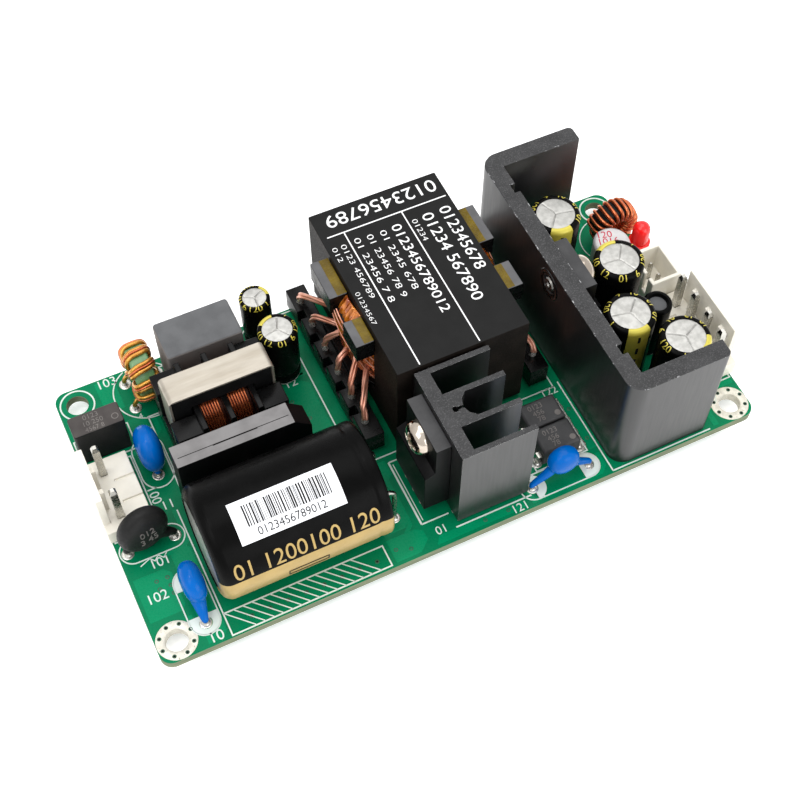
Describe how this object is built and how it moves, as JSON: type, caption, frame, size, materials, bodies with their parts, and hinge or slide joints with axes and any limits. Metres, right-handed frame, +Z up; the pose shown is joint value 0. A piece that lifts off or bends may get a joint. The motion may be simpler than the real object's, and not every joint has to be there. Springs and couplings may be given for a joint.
{
  "type": "ac-dc power supply",
  "caption": "Open-board switched-mode power supply with mains header, line filter, bulk capacitor, transformer, extruded heatsinks and output headers.",
  "frame": {"origin": "middle of the board's underside", "axes": "+X from the mains header to the output headers, +Y to the long edge away from the bulk capacitor, +Z up through the components"},
  "size_m": [0.1024, 0.0517, 0.0248],
  "materials": {
    "solder_mask": "satin green solder mask",
    "solder": "bright tin",
    "tinned": "tinned wire",
    "dark_case": "dark grey moulded case",
    "nylon": "natural white nylon",
    "blue_coat": "blue dipped coating",
    "black_coat": "black dipped coating",
    "green_ferrite": "coated ferrite",
    "gold_wire": "enamelled copper wire",
    "copper_wire": "enamelled copper wire",
    "grey_case": "grey moulded box",
    "ferrite": "bare ferrite",
    "strap_steel": "satin sheet steel",
    "bobbin": "black phenolic",
    "epoxy": "moulded epoxy",
    "sleeve": "black shrink sleeve",
    "amber_tape": "amber polyimide tape",
    "black_label": "satin black label",
    "anodised": "black anodised extrusion",
    "screw_steel": "nickel-plated",
    "white_paper": "white paper",
    "red_lens": "red tinted resin"
  },
  "bodies": {
    "root": {"circuit_board": "solder_mask", "solder_joints": "solder", "fuse": "dark_case", "inlet_header": "nylon", "inlet_pins": "tinned", "varistor": "blue_coat", "thermistor": "black_coat", "inlet_y_capacitor": "blue_coat", "bridging_y_capacitor": "blue_coat", "disc_leads": "tinned", "line_choke_core": "green_ferrite", "line_choke_winding": "gold_wire", "x_capacitor": "grey_case", "common_mode_core": "ferrite", "common_mode_strap": "strap_steel", "common_mode_bobbin": "bobbin", "common_mode_pins": "tinned", "common_mode_winding": "copper_wire", "bridge_rectifier": "epoxy", "bridge_leads": "tinned", "bulk_capacitor": "sleeve", "bulk_leads": "tinned", "supply_capacitor": "sleeve", "gate_capacitor": "sleeve", "transformer_core": "ferrite", "transformer_bobbin": "bobbin", "transformer_winding": "amber_tape", "bulk_label": "white_paper", "transformer_label": "black_label", "transformer_pins": "tinned", "transformer_lead_wires": "copper_wire", "primary_heatsink": "anodised", "primary_heatsink_pins": "tinned", "power_transistor": "epoxy", "transistor_leads": "tinned", "transistor_screw": "screw_steel", "optocoupler_1": "epoxy", "optocoupler_2": "epoxy", "optocoupler_leads": "tinned", "secondary_heatsink": "anodised", "output_rectifier": "epoxy", "rectifier_leads": "tinned", "rectifier_screw": "screw_steel", "output_capacitor_1": "sleeve", "output_capacitor_2": "sleeve", "output_capacitor_3": "sleeve", "output_capacitor_4": "sleeve", "polymer_capacitor": "screw_steel", "rod_inductor": "ferrite", "output_choke_core": "ferrite", "output_choke_winding": "copper_wire", "indicator_led": "red_lens", "led_leads": "tinned", "outlet_header": "nylon", "outlet_pins": "tinned", "auxiliary_header": "nylon", "auxiliary_pins": "tinned", "controller_chip": "epoxy", "chip_parts": "ferrite"}
  },
  "joints": []
}
